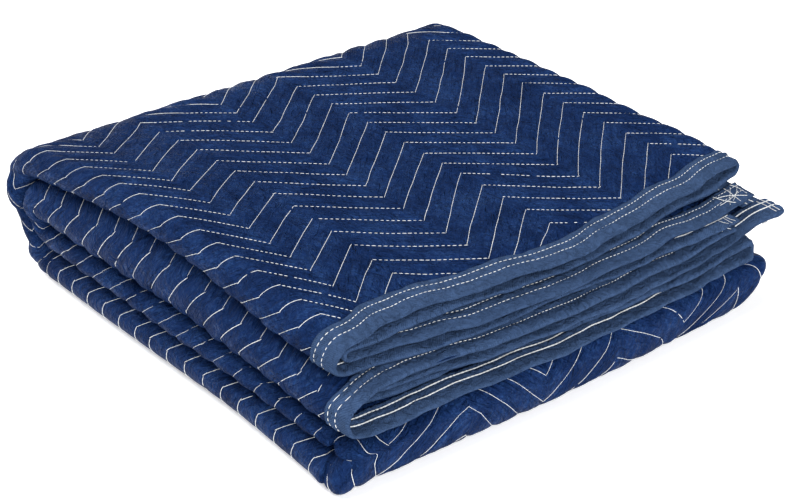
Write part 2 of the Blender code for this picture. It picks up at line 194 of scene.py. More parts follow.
# Heights of the four quarters' tops once the bundle has settled.
middleHeights = (
    # y,    bottom, third, second, top
    (-0.24, 0.025, 0.050, 0.094, 0.129),
    (-0.12, 0.026, 0.051, 0.096, 0.132),
    (0.05,  0.027, 0.052, 0.098, 0.134),
    (0.24,  0.027, 0.052, 0.098, 0.133),
)
leftHeights = (
    # y,    bottom, third, second, top
    (-0.24, 0.034, 0.047, 0.087, 0.122),
    (-0.16, 0.035, 0.055, 0.096, 0.131),
    (-0.08, 0.036, 0.059, 0.108, 0.141),
    (0.00,  0.036, 0.059, 0.119, 0.147),
    (0.08,  0.036, 0.060, 0.119, 0.147),
    (0.16,  0.035, 0.063, 0.113, 0.141),
    (0.24,  0.034, 0.066, 0.104, 0.131),
)

# How far the bound edges stand out of their lines, along the cloth.
edgeReach = (
    # share of the length, top edge, second edge
    (0.00, 0.024, -0.004),
    (0.04, 0.020, 0.000),
    (0.08, 0.016, 0.003),
    (0.12, 0.015, 0.004),
    (0.16, 0.014, 0.001),
    (0.20, 0.008, -0.010),
    (0.225, 0.003, -0.010),
    (0.25, 0.000, 0.004),
    (0.30, -0.012, 0.004),
    (0.34, -0.004, 0.008),
    (0.38, 0.006, 0.011),
    (0.42, -0.005, 0.007),
    (0.46, -0.012, 0.006),
    (0.50, -0.021, 0.006),
    (0.55, -0.012, 0.003),
    (0.59, -0.002, -0.001),
    (0.63, 0.005, -0.006),
    (0.67, -0.001, -0.012),
    (0.71, -0.006, -0.018),
    (0.75, -0.004, -0.024),
    (0.79, 0.002, -0.016),
    (0.83, 0.015, 0.002),
    (0.87, 0.021, 0.005),
    (0.91, 0.017, 0.004),
    (0.95, 0.011, 0.002),
    (1.00, 0.006, -0.001),
)
endReach = (
    # share of the width, lower end, long tip
    (0.00, -0.038, -0.007),
    (0.20, -0.012, -0.006),
    (0.80, -0.012, 0.006),
    (0.95, -0.036, 0.020),
    (1.00, -0.040, 0.022),
)

# How far apart the rows of the tables above are smoothed together.
spreads = {"middle": 0.12, "left": 0.06, "edge": 0.02, "end": 0.08}

# How the settled bundle leaves its square shape; an At is a height and how far it spreads.
lean = {
    "back": 0.007,           # the side folds lean out at the back
    "belly": 0.013,          # most at mid-height
    "bellyAt": (0.070, 0.030),
    "backFoot": 0.001,       # their foot draws in at the back
    "sideFoot": 0.002,       # and spreads a little all along
    "waver": 0.003,          # and waver from fold to fold
    "waverTurns": (46, 8),   # radians per metre of height and of the side
    "grooveEase": 0.75,      # the grooves between them close towards the back
    "cornerDraw": 0.012,     # the near corner draws in at the top
    "cornerFoot": 0.009,     # spreads at the floor
    "cornerTuck": 0.003,     # and is tucked back there
    "turnDraw": 0.007,       # the far side draws in towards the floor
    "turnFoot": 0.034,       # most at its front corner
    "turnSpread": 0.004,     # and spreads at the top
    "spreadPower": 3,        # more sharply nearer the front
    "turnOpen": 0.0065,      # the top quarter's turn gapes at the front
    "openAt": (0.1180, 0.008),
    "turnTuck": 0.027,       # and the turn below it is tucked in
    "tuckAt": (0.066, 0.014),
    "frontBow": 0.012,       # the front bows out in its middle
    "footDraw": 0.005,       # and its foot draws back on the far side
    "tipLift": 0.010,        # the long tip rides up
    "tipAt": (0.080, 0.030),
    "footHeight": 0.050,
}

# Where each of these fades in: from and to.
fades = {
    # in metres from the bundle's middle
    "leftHeight": (0.02, 0.22), "left": (0.08, 0.25), "right": (0.02, 0.25),
    "back": (-0.05, 0.24), "front": (0.05, 0.24), "grooveEase": (-0.02, 0.15),
    "tip": (0.14, 0.27), "gape": (0.08, 0.24),
    # as a share of the cloth's width or length
    "topEdge": (0.02, 0.19), "secondEdge": (0.81, 0.98),
    "lowerEnd": (0.02, 0.20), "longEnd": (0.80, 0.98),
}

# The grooves between the side folds: each fold overhangs the one below.
grooves = (
    # height in the even stack, depth, spread
    (0.0965, 0.011, 0.0070),
    (0.0520, 0.006, 0.0040),
    (0.0275, 0.006, 0.0045),
)


# Smooth reading of a table's column at a place along its first column.
def blended(table, column, place, spread):
    rows = np.array(table)
    weight = hump(place[..., None], rows[:, 0], spread)
    return (weight * rows[:, column]).sum(axis=-1) / weight.sum(axis=-1)


def settledHeight(x, y, z):
    leftSide = smoothStep(-x, *fades["leftHeight"])
    levels = [quarterBase[name] - bundle["quarterGap"] / 2 for name in quarterOrder[1:]]
    levels = [0] + levels + [stackHeight]
    height = np.zeros_like(z)
    below = np.zeros_like(z)
    for column, (low, high) in enumerate(zip(levels, levels[1:]), start=1):
        middle = blended(middleHeights, column, y, spreads["middle"])
        left = blended(leftHeights, column, y, spreads["left"])
        above = middle + (left - middle) * leftSide
        share = (z - low) / (high - low)
        share = np.clip(share, 0 if low else -1, None if high == stackHeight else 1)
        height = np.where(z >= low, below + (above - below) * share, height)
        below = above
    return height


# The near corner closes as a pouch: an upright crease from the floor, a pit above it, a point below.
pouch = {
    "x": -0.250,
    "y": -0.236,
    "crease": 0.0040,            # its depth
    "reach": 0.040,
    "line": (-0.0205, 0.0035),   # of x less y along it, and its width
    "top": (0.045, 0.055),       # heights between which it ends
    "pit": (0.013, 0.009),       # how far in and how far back
    "pitAt": (0.047, 0.008),
    "pitReach": 0.020,
    "point": 0.005,
    "pointReach": 0.020,
    "pointTop": 0.030,
}


def nearCornerDent(x, y, z):
    away = (x - pouch["x"]) ** 2 + (y - pouch["y"]) ** 2
    crease = hump(x - y, *pouch["line"]) * np.exp(-away / pouch["reach"] ** 2)
    crease = pouch["crease"] * crease * (1 - smoothStep(z, *pouch["top"]))
    pit = np.exp(-away / pouch["pitReach"] ** 2) * hump(z, *pouch["pitAt"])
    point = np.exp(-away / pouch["pointReach"] ** 2) * (1 - smoothStep(z, 0, pouch["pointTop"]))
    inward = crease - pouch["point"] * point
    return inward + pouch["pit"][0] * pit, inward + pouch["pit"][1] * pit


def settle(x, y, z):
    height = z / stackHeight
    leftSide = smoothStep(-x, *fades["left"])
    rightSide = smoothStep(x, *fades["right"])
    atBack = smoothStep(y, *fades["back"])
    atFront = smoothStep(-y, *fades["front"])
    foot = 1 - smoothStep(z, 0, lean["footHeight"])
    belly = lean["belly"] * hump(z, *lean["bellyAt"])
    tuck = lean["turnTuck"] * hump(z, *lean["tuckAt"], power=4)
    gape = lean["turnOpen"] * hump(z, *lean["openAt"])
    waver = lean["waver"] * np.sin(lean["waverTurns"][0] * z + lean["waverTurns"][1] * y)
    groove = sum(depth * hump(z, place, spread) for place, depth, spread in grooves)
    newX = x - leftSide * atBack * (lean["back"] * height + belly - lean["backFoot"] * (1 - height))
    newX -= leftSide * (waver + lean["sideFoot"] * foot)
    newX += leftSide * atFront * (lean["cornerDraw"] * height ** 2 - lean["cornerFoot"] * foot)
    newX -= rightSide * (lean["turnDraw"] * (1 - height) + atFront * (lean["turnFoot"] * foot + tuck))
    power = 1 + lean["spreadPower"] * atFront
    newX += rightSide * lean["turnSpread"] * np.clip(height, 0, None) ** power
    newX += leftSide * groove * (1 - lean["grooveEase"] * smoothStep(y, *fades["grooveEase"]))
    newY = y - lean["frontBow"] * atFront * height * (1 - (x / bundle["halfWidth"]) ** 2)
    newY += (lean["footDraw"] * rightSide + lean["cornerTuck"] * leftSide) * atFront * foot
    dentX, dentY = nearCornerDent(x, y, z)
    atTip = smoothStep(x, *fades["tip"]) * atFront * hump(z, *lean["tipAt"])
    newZ = settledHeight(x, y, z) + lean["tipLift"] * atTip * smoothStep(z, 0, lean["footHeight"])
    newZ -= gape * smoothStep(x, *fades["gape"]) * atFront
    return newX + dentX, newY + dentY, newZ


# Smooth noise from -1 to 1, with features about one unit across.
def noise(x, y, seed=0):
    wholeX, wholeY = np.floor(x), np.floor(y)
    shareX, shareY = smoothStep(x - wholeX, 0, 1), smoothStep(y - wholeY, 0, 1)

    def corner(i, j):
        value = np.sin((wholeX + i) * 127.1 + (wholeY + j) * 311.7 + seed * 74.7) * 43758.5453
        return (value - np.floor(value)) * 2 - 1

    low = corner(0, 0) * (1 - shareX) + corner(1, 0) * shareX
    high = corner(0, 1) * (1 - shareX) + corner(1, 1) * shareX
    return low * (1 - shareY) + high * shareY


# Small unevenness of the cloth's bound edges, in the flat.
edgeWaver = {
    "reach": 0.0018,
    "reachStep": 0.045,
    "lift": 0.0014,
    "liftStep": (0.032, 0.1),
    "depth": 0.08,           # how far into the cloth it fades out
    "ripple": 0.0011,
    "rippleLift": 0.0007,
    "rippleStep": 0.0135,
    "rippleDepth": 0.030,
}


# How far the bound edges' reach draws the cloth at a place towards the back.
def edgeShift(s, t):
    shareS, shareT = s / clothLength, t / clothWidth
    step = s / edgeWaver["reachStep"]
    top, second = (blended(edgeReach, column, shareS, spreads["edge"])
                   + edgeWaver["reach"] * noise(step, 0 * s, column) for column in (1, 2))
    top *= 1 - smoothStep(shareT, *fades["topEdge"])
    return top - second * smoothStep(shareT, *fades["secondEdge"])


# World place of a point of flat cloth at s along the rows, t across them, h off its middle.
def fold(s, t, h):
    shareS, shareT = s / clothLength, t / clothWidth
    outS = blended(endReach, 1, shareT, spreads["end"]) * (1 - smoothStep(shareS, *fades["lowerEnd"]))
    outU = blended(endReach, 2, shareT, spreads["end"]) * smoothStep(shareS, *fades["longEnd"])
    inside = np.minimum(t, clothWidth - t)
    edge = np.exp(-inside / edgeWaver["depth"])
    liftS, liftT = edgeWaver["liftStep"]
    lift = edgeWaver["lift"] * edge * noise(s / liftS, t / liftT, 3)
    rim = np.exp(-np.clip(inside, 0, None) / edgeWaver["rippleDepth"])
    edgeRow = np.where(t > clothWidth / 2, 9.5, 0.5)   # so that the two edges ripple differently
    ripple = edgeWaver["ripple"] * rim * noise(s / edgeWaver["rippleStep"], edgeRow, 8)
    lift += edgeWaver["rippleLift"] * rim * noise(s / edgeWaver["rippleStep"], edgeRow, 9)
    x, depth = crossSection(s - outS + outU, h + lift)
    y, z = stackPlace(t - edgeShift(s, t) + ripple, depth / packThickness)
    return np.stack(settle(x, y, z), axis=-1)


# Where each part of both paths starts and ends along the cloth.
starts, ends = {}, {}
for path, column in ((crossPath, 1), (stackPath, 3)):
    place = 0.0
    for row in path:
        starts[row[0]] = place
        place += row[column]
        ends[row[0]] = place

# The quilting: zigzag rows sewn through both shells.
quilt = {
    "rowPitch": 0.0266,
    "halfPeriod": 0.0835,
    "height": 0.072,          # of the zigzag, peak to valley
    "middleRow": 7,           # of the rows on the top quarter
    "wander": 0.0020,         # how far a row strays
    "wanderStep": 0.060,
    "waver": 0.0006,          # and wavers from stitch to stitch
    "waverStep": 0.016,
    "trough": 0.0022,         # depth of the sewn line under the loft
    "crumple": 0.0009,        # of the shell between the rows
    "crumpleSteps": (0.011, 0.0065),
    "swell": 0.0008,          # of the whole face
    "swellSteps": (0.09, 0.07),
    "loftPower": 0.6,         # under 1, so the cloth between two rows is flat rather than peaked
    "loftMean": 0.62,
    "pressed": 0.8,           # how much of the relief the underside loses
    "pressedEase": 0.01,      # half the stretch over which it does
    "rim": 0.012,             # over which the relief fades in
}

# The middle row's corners on the top, and the same corners as they lie round the front fold.
rowCorners = (
    # x,      place,  pitch,  growth, front x, front place
    (-0.265,  0.2506, 0.0279, 0.010,  -0.281,  0.2506),
    (-0.247,  0.2286, 0.0279, 0.010,  -0.263,  0.2286),
    (-0.229,  0.2256, 0.0279, 0.010,  -0.245,  0.2256),
    (-0.1935, 0.1746, 0.0276, 0.010,  -0.210,  0.1800),
    (-0.1356, 0.2173, 0.0282, 0.016,  -0.125,  0.2323),
    (-0.0542, 0.1630, 0.0271, 0.011,  -0.040,  0.1630),
    (0.0298,  0.2385, 0.0276, 0.003,   0.046,  0.2308),
    (0.1091,  0.1726, 0.0279, 0.013,   0.140,  0.1726),
    (0.2045,  0.2700, 0.0290, 0.000,   0.212,  0.2378),
)

tape = {
    "width": 0.026,
    "thickness": 0.0011,
    "gap": 0.0008,
    "endGap": 0.0006,
    "seams": (0.0205, 0.0120),    # from the cloth's edge
    "taper": 0.0019,              # of each face towards the cloth's edge
    "taperShare": 0.8,            # of the tape's width that it takes
    "hem": 0.0013,                # how much thinner the cloth is within the tape
    "hemmed": (-0.009, -0.002),   # from the tape's inner edge
    "pressed": (-0.001, 0.012),   # where the cloth rises again beside it
    "least": 0.0003,              # of the cloth's half thickness
    "pinch": 0.0007,
    "pinchSpread": 0.0016,
    "pucker": 0.0011,
    "puff": 0.0004,
    "edge": 0.004,
    "sunk": 0.0005,               # of its inner edge into the cloth
    "scallop": 0.0017,
    "scallopFrom": 0.9,
    "scallopStep": 0.012,
    "seamWaver": 0.0004,
    "seamStep": 0.03,
    "seamEnd": 0.002,
    "step": 0.0036,
}
tapeStand = tape["thickness"] + tape["gap"]   # of the tape's face off the cloth
# The puckers of its face, coarse and fine.
puckers = (
    # step,  slant,  step across, seed, share
    (0.0085, 0.012,  0.014,       0,    1.0),
    (0.0045, -0.020, 0.008,       10,   0.4),
)

# The stretches that show, where the mesh is fine and the quilting is raised.
sideFrom = starts["side fold"] - 0.030
turnTo = ends["far turn"] + 0.004
shownZones = (
    # s from, s to, t from, t to
    (starts["side fold"], turnTo, 0.024, ends["outer spine"]),
    (sideFrom, ends["side fold"], 0.0, clothWidth),
    (starts["side fold"], turnTo, starts["front spine"] - 0.030, ends["front spine"] + 0.02),
)


def shown(s, t, rim):
    share = np.zeros_like(s)
    for sFrom, sTo, tFrom, tTo in shownZones:
        inside = np.minimum(np.minimum(s - sFrom, sTo - s), np.minimum(t - tFrom, tTo - t))
        share = np.maximum(share, smoothStep(inside, 0, rim))
    return share


# The same corners along the cloth, carried on evenly to both of its ends.
def evenCorners(rows):
    shift = starts["outer leg"] - outerFoldX
    corners = [(row[0] + shift,) + row[1:] for row in rows]
    for end, way in ((0, -1), (-1, 1)):
        rise = -quilt["height"]
        while 0 < corners[end][0] < clothLength:
            s, place, *rest = corners[end]
            beyond = (s + way * quilt["halfPeriod"], place + rise, *rest)
            corners.insert(len(corners) if way > 0 else 0, beyond)
            rise = -rise
    return np.array(corners)


corners = evenCorners([row[:4] for row in rowCorners])
frontCorners = evenCorners([row[4:] for row in rowCorners])


# How the rows take their front places: shares, from and to so many rows beyond the top quarter.
frontShares = ((1.0, 2, 8), (-0.6, 28, 32), (-0.4, 36, 44))


def frontShare(beyond):
    return sum(share * smoothStep(beyond, low, high) for share, low, high in frontShares)


# Where a row lies across the cloth: its number need not be whole.
def rowPlace(s, row):
    middle, pitch, growth = (np.interp(s, corners[:, 0], corners[:, column]) for column in (1, 2, 3))
    run = row - quilt["middleRow"]
    near = np.clip(run, -quilt["middleRow"], quilt["middleRow"])
    share = frontShare(run - near)
    middle = middle * (1 - share) + np.interp(s, frontCorners[:, 0], frontCorners[:, 1]) * share
    wander = noise(s / quilt["wanderStep"], row * 0.7, 4) * quilt["wander"]
    waver = noise(s / quilt["waverStep"], row, 12) * quilt["waver"]
    place = middle + pitch * near + quilt["rowPitch"] * (run - near) + (wander + waver)
    place += growth * (near / quilt["middleRow"]) ** 2
    return place + edgeShift(s, place)


def fromEdge(s, t):
    return np.minimum(np.minimum(s, clothLength - s), np.minimum(t, clothWidth - t))


# Half the cloth's thickness at a distance from its edge, tape and all.
def halfAt(inside):
    taper = 1 - smoothStep(inside, 0, tape["taperShare"] * tape["width"])
    return bundle["thickness"] / 2 - tape["taper"] * taper


# How far the tape presses the cloth down: 1 under it, 0 beyond.
def underTape(s, t):
    low, high = tape["pressed"]
    return 1 - smoothStep(fromEdge(s, t), tape["width"] + low, tape["width"] + high)


# The same half thickness for the bare cloth, thinner still within the tape.
def hemmedHalf(s, t):
    inside = fromEdge(s, t)
    low, high = tape["hemmed"]
    hemmed = 1 - smoothStep(inside, tape["width"] + low, tape["width"] + high)
    half = halfAt(inside) - tape["hem"] * hemmed
    return np.maximum(half, underTape(s, t) * tapeStand + tape["least"])


# Height of the outer face off the cloth's middle.
def outerFace(s, t, row):
    between = np.sin(math.pi * (row % 1.0))
    loft = between ** quilt["loftPower"] - quilt["loftMean"]
    wide, narrow = quilt["crumpleSteps"]
    crumple = noise(s / wide + 0.9 * row, row * 1.7, 5) + 0.6 * noise(s / narrow, row * 3.1 + s / 0.02, 6)
    crumple = crumple * between ** 0.5 * quilt["crumple"]
    along, across = quilt["swellSteps"]
    swell = noise(s / along, t / across, 7) * quilt["swell"]
    ease = quilt["pressedEase"]
    under = smoothStep(t - ends["outer spine"], -ease, ease)
    under *= 1 - smoothStep(t - starts["front spine"], -ease, ease)
    relief = quilt["trough"] * loft + crumple + swell
    relief = relief * (1 - quilt["pressed"] * under) * (1 - underTape(s, t))
    return hemmedHalf(s, t) - underTape(s, t) * tapeStand + shown(s, t, quilt["rim"]) * relief


def gridLines(musts, stepAt):
    lines = []
    for low, high in zip(musts, musts[1:]):
        count = max(1, math.ceil((high - low) / stepAt((low + high) / 2) - 0.05))
        lines += [low + (high - low) * i / count for i in range(count)]
    return lines + [musts[-1]]


# A grid, with the column and the line that each of its vertices lies in.
def numberedGrid(stepsX, stepsY):
    bm = bmesh.new()
    bmesh.ops.create_grid(bm, x_segments=stepsX, y_segments=stepsY, size=0.5)
    bmesh.ops.translate(bm, verts=bm.verts, vec=(0.5, 0.5, 0))
    bmesh.ops.scale(bm, verts=bm.verts, vec=(stepsX, stepsY, 1))
    return bm, *np.round([vert.co[:2] for vert in bm.verts]).astype(int).T


def meshOf(bm, name):
    mesh = bpy.data.meshes.new(name)
    bm.to_mesh(mesh)
    bm.free()
    return mesh


def placesOf(mesh):
    places = np.empty(len(mesh.vertices) * 3)
    mesh.vertices.foreach_get("co", places)
    return places.reshape(-1, 3)


def linked(name, data):
    item = bpy.data.objects.new(name, data)
    bpy.context.scene.collection.objects.link(item)
    return item


# Makes a finished mesh an object of the bundle.
def placed(name, mesh, material):
    mesh.materials.append(material)
    mesh.shade_smooth()
    mesh.update()
    piece = linked(name, mesh)
    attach(piece, "root")
    return piece


# Gives the flat mesh its places on the flat cloth and along the rows, and then folds it.
def foldedPiece(name, bm, material, heights=None):
    mesh = meshOf(bm, name)
    s, t, h = placesOf(mesh).T
    used = np.empty(len(mesh.loops), dtype=np.int32)
    mesh.loops.foreach_get("vertex_index", used)
    for plan, across in (("flat", t + h), ("rows", rowAt(s, t) * quilt["rowPitch"])):
        layer = mesh.uv_layers.new(name=plan)
        layer.data.foreach_set("uv", np.stack([s, across], axis=1)[used].ravel())
    if heights is not None:
        h = heights(s, t, h)
    mesh.vertices.foreach_set("co", fold(s, t, h).ravel())
    return placed(name, mesh, material)


# The number of the row at a place, found by stepping back from its zigzag.
def rowAt(s, t):
    row = t / quilt["rowPitch"]
    for _ in range(6):
        row -= (rowPlace(s, row) - t) / quilt["rowPitch"]
    return row


def bodyHeights(s, t, side):
    outer = outerFace(s, t, rowAt(s, t))
    inner = hemmedHalf(s, t) - underTape(s, t) * tapeStand
    return np.where(side > 0, outer, -inner)


shellMesh = {
    "linesPerRow": 2,     # coarse mesh lines per row
    "coarseStep": 0.042,
    "fineStep": 0.0120,
    "turnStep": 0.0035,
    "edgeClear": 0.004,   # how near to the ends a corner of the rows gets no line of its own
    "turnClear": 0.003,   # to a turn,
    "lineClear": 0.005,   # and to another line
    "cuts": 3,
}


def clearOf(lines, others, gap):
    return [line for line in lines if min(abs(line - other) for other in others) > gap]


# The mesh lines that the folds need, and those that the rows' corners need beside them.
def mustLines():
    turns = [starts[name] for name in ("side fold", "far turn", "inner turn")]
    turns += [ends[name] for name in ("far turn", "inner turn")]
    clear = shellMesh["edgeClear"]
    inside = [s for s in corners[:, 0] if clear < s < clothLength - clear]
    keep = clearOf(inside, turns, shellMesh["turnClear"])
    seen = [s for s in frontCorners[:, 0] if sideFrom < s < turnTo]
    keep += clearOf(seen, keep + turns, shellMesh["lineClear"])
    keep = [s for s in keep if not starts["inner turn"] < s < ends["inner turn"]]
    return sorted([0.0, sideFrom, clothLength] + keep + turns)


def meshStep(s):
    if starts["inner turn"] < s < ends["inner turn"] or starts["far turn"] < s < ends["far turn"]:
        return shellMesh["turnStep"]
    return shellMesh["fineStep" if sideFrom - 0.01 < s < turnTo else "coarseStep"]


def quiltedBody(material):
    sLines = np.array(gridLines(mustLines(), meshStep))
    perRow = shellMesh["linesPerRow"]
    overhang = int(2 * quilt["height"] / quilt["rowPitch"] * perRow) + 2
    rowCount = int(clothWidth / quilt["rowPitch"] * perRow) + 2 * overhang
    bm, column, line = numberedGrid(len(sLines) - 1, rowCount)
    s = sLines[column]
    row = (line - overhang) / perRow
    t = np.clip(rowPlace(s, row), 0, clothWidth)
    for vert, x, y in zip(bm.verts, s, t):
        vert.co = (x, y, 0)
    bmesh.ops.remove_doubles(bm, verts=bm.verts, dist=1e-5)
    bmesh.ops.dissolve_degenerate(bm, edges=bm.edges, dist=1e-6)
    bmesh.ops.solidify(bm, geom=bm.faces[:], thickness=bundle["thickness"])
    middle = sum(vert.co.z for vert in bm.verts) / len(bm.verts)
    for vert in bm.verts:
        vert.co.z = math.copysign(1, vert.co.z - middle)
    centres = np.array([face.calc_center_median()[:] for face in bm.faces])
    fine = (centres[:, 2] > 0.5) & (shown(centres[:, 0], centres[:, 1], 0.001) > 0)
    for face, pick in zip(bm.faces, fine):
        face.tag = bool(pick)
    edges = [edge for edge in bm.edges if any(face.tag for face in edge.link_faces)]
    bmesh.ops.subdivide_edges(bm, edges=edges, cuts=shellMesh["cuts"], use_grid_fill=True)
    bmesh.ops.recalc_face_normals(bm, faces=bm.faces)
    return foldedPiece("quilted_shell", bm, material, bodyHeights)


# Height of the tape's face over the cloth's half thickness: pinched at its seams, puckered between.
def tapeFace(along, inward, seed):
    pinch = sum(hump(inward, line, tape["pinchSpread"]) for line in tape["seams"])
    pucker = sum(share * tape["pucker"] * noise(along / step + inward / slant, inward / across, seed + more)
                 for step, slant, across, more, share in puckers)
    free = (1 - np.clip(pinch, 0, 1)) * (pucker + tape["puff"])
    return smoothStep(inward, 0.0, tape["edge"]) * (free - tape["pinch"] * pinch)


# Inward from the cloth's edge as a share of the tape, side, and how far out: 1 on the outer skin.
def tapeProfile():
    shares = (1.0, 0.93, 0.88, 0.835, 0.79, 0.73, 0.67, 0.615, 0.56, 0.48, 0.40, 0.32, 0.24, 0.16, 0.09, 0.04)
    upper = [(share, 1, 1) for share in shares]
    lower = [(share, -1, 1) for share in reversed(shares)]
    inside = [(1.0, -1, 0), (0.0, -1, 0), (0.0, 1, 0), (1.0, 1, 0)]
    web = [(-0.03, 0.75, 1), (-0.06, 0.3, 1), (-0.06, -0.3, 1), (-0.03, -0.75, 1)]
    return np.array(upper + web + lower + inside)


# Flat place (s, t) of a point along a tape and inward from the cloth's edge.
def tapePlace(alongRows, far, along, inward):
    across = (clothWidth if alongRows else clothLength) - inward if far else inward
    return (along, across) if alongRows else (across, along)


# One length of tape, folded over one edge of the cloth.
def binding(name, alongRows, far, low, high, step, seed, material):
    profile = tapeProfile()
    count = round((high - low) / step)
    bm, column, line = numberedGrid(count, len(profile))
    along = low + (high - low) * column / count
    share, side, outer = profile[line % len(profile)].T
    scallop = tape["scallop"] * noise(along / tape["scallopStep"], 0 * along, seed + 5)
    inward = share * tape["width"] + scallop * smoothStep(share, tape["scallopFrom"], 1.0)
    half = halfAt(inward)
    face = half + tapeFace(along, inward, seed + (side < 0) * 3)
    h = np.where(outer > 0, face * side, (half - tape["thickness"]) * side)
    h = np.where((outer > 0) & (share == 1.0), (half - tape["sunk"]) * side, h)
    s, t = tapePlace(alongRows, far, along, inward)
    for vert, point in zip(bm.verts, np.stack([s, t, h], axis=1)):
        vert.co = point
    bmesh.ops.remove_doubles(bm, verts=bm.verts, dist=1e-7)
    bmesh.ops.holes_fill(bm, edges=bm.edges, sides=len(profile))
    bmesh.ops.recalc_face_normals(bm, faces=bm.faces)
    return foldedPiece(name, bm, material)


# Sewn threads: each stitch is a small bead along its seam.
thread = {
    "pitch": 0.0046,
    "length": 0.0033,
    "width": 0.00070,
    "height": 0.0008,
    "uneven": (0.12, 0.10),   # spread of their lengths and widths, as shares
    "sink": 0.0001,
    "skipped": 0.012,         # share of stitches left out
    "longLength": 0.0062,     # where the stitches lie end to end
    "longWidth": 0.00047,
    "longPast": 0.004,        # they still do so this far past the side fold
    "backReach": 0.06,        # of the top's rows beyond its back edge
    "walkStep": 0.001,
    "looseStep": 0.0026,
    "looseLap": 1.4,
    "looseBow": 0.0016,
    "looseLift": 0.0014,
    "chainPitch": 0.0040,
    "chainLength": 0.0052,
    "chainWidth": 0.0015,
    "chainHeight": 0.0012,
}


def beadMesh():
    bm = bmesh.new()
    bmesh.ops.create_uvsphere(bm, u_segments=6, v_segments=4, radius=0.5)
    for vert in bm.verts:
        vert.co = (vert.co.z, vert.co.x, vert.co.y)
    bmesh.ops.recalc_face_normals(bm, faces=bm.faces)
    return meshOf(bm, "bead")


# A mesh of many copies of another, in order.
def manyOf(mesh, count, name):
    bm = bmesh.new()
    for _ in range(count):
        bm.from_mesh(mesh)
    return meshOf(bm, name)


# Beads at flat places (s, t), each turned to its angle, on the outer (1) or inner (-1) side.
def stitches(name, s, t, angle, height, side, size, material):
    bead = beadMesh()
    along, across, up = np.moveaxis(placesOf(bead) * size[:, None, :], -1, 0)
    s, t, angle, height = (value[:, None] for value in (s, t, angle, height))
    placeS = s + along * np.cos(angle) - across * np.sin(angle)
    placeT = t + along * np.sin(angle) + across * np.cos(angle)
    placeH = (height + up) * side
    mesh = manyOf(bead, len(s), name)
    mesh.vertices.foreach_set("co", fold(placeS.ravel(), placeT.ravel(), placeH.ravel()).ravel())
    if side < 0:
        mesh.flip_normals()
    piece = placed(name, mesh, material)
    return piece


def beadSizes(count, length, width, height, draw):
    lengths, widths = (size * (1 + uneven * draw.standard_normal(count))
                       for size, uneven in zip((length, width), thread["uneven"]))
    return np.stack([lengths, widths, np.full(count, height)], axis=1)


# The rows' stitches within one stretch of the outer face.
def rowStitches(name, sFrom, sTo, tFrom, tTo, material, draw):
    reach = 2 * quilt["height"]
    firstRow = math.ceil((tFrom - reach) / quilt["rowPitch"])
    lastRow = math.floor((tTo + reach) / quilt["rowPitch"])
    allS, allRows = [], []
    step = thread["walkStep"]
    fine = np.arange(sFrom, sTo, step)
    for row in range(firstRow, lastRow + 1):
        runs = np.hypot(step, np.diff(rowPlace(fine, row)))
        walked = np.concatenate([[0], np.cumsum(runs)])
        sewn = np.arange(thread["pitch"] * draw.random(), walked[-1], thread["pitch"])
        s = np.interp(sewn, walked, fine)
        s = s[draw.random(len(s)) > thread["skipped"]]
        allS.append(s)
        allRows.append(np.full_like(s, row))
    s, row = np.concatenate(allS), np.concatenate(allRows)
    t = rowPlace(s, row)
    inside = (t > max(tFrom, tape["width"])) & (t < min(tTo, clothWidth - tape["width"]))
    s, row, t = s[inside], row[inside], t[inside]
    ahead = rowPlace(s + step / 2, row) - rowPlace(s - step / 2, row)
    angle = np.arctan2(ahead, step)
    height = outerFace(s, t, row) + thread["height"] / 2 - thread["sink"]
    sizes = beadSizes(len(s), thread["length"], thread["width"], thread["height"], draw)
    long = (ahead > 0) | (s < starts["outer leg"] + thread["longPast"]) | (t > ends["top"])
    sizes[long, 0] *= thread["longLength"] / thread["length"]
    sizes[long, 1] *= thread["longWidth"] / thread["width"]
    return stitches(name, s, t, angle, height, 1, sizes, material)


# The two seams that hold a tape, as dashes on the outer side and as a chain on the inner.
def tapeStitches(name, alongRows, far, low, high, seed, side, material, draw):
    dashed = side > 0
    step = thread["pitch"] if dashed else thread["chainPitch"]
    starting, ending = low + tape["seamEnd"], high - tape["seamEnd"]
    runs = [np.arange(starting + step * draw.random(), ending, step) for _ in tape["seams"]]
    inward = np.concatenate([np.full_like(run, line) for run, line in zip(runs, tape["seams"])])
    along = np.concatenate(runs)
    inward += tape["seamWaver"] * noise(along / tape["seamStep"], inward * 100, seed + 20)
    face = halfAt(inward) + tapeFace(along, inward, seed + (side < 0) * 3)
    kinds = ("length", "width", "height") if dashed else ("chainLength", "chainWidth", "chainHeight")
    sizes = beadSizes(len(along), *(thread[kind] for kind in kinds), draw)
    height = face + sizes[:, 2] / 2 - thread["sink"]
    angle = np.zeros_like(along) if alongRows else np.full_like(along, math.pi / 2)
    s, t = tapePlace(alongRows, far, along, inward)
    return stitches(name, s, t, angle, height, side, sizes, material)


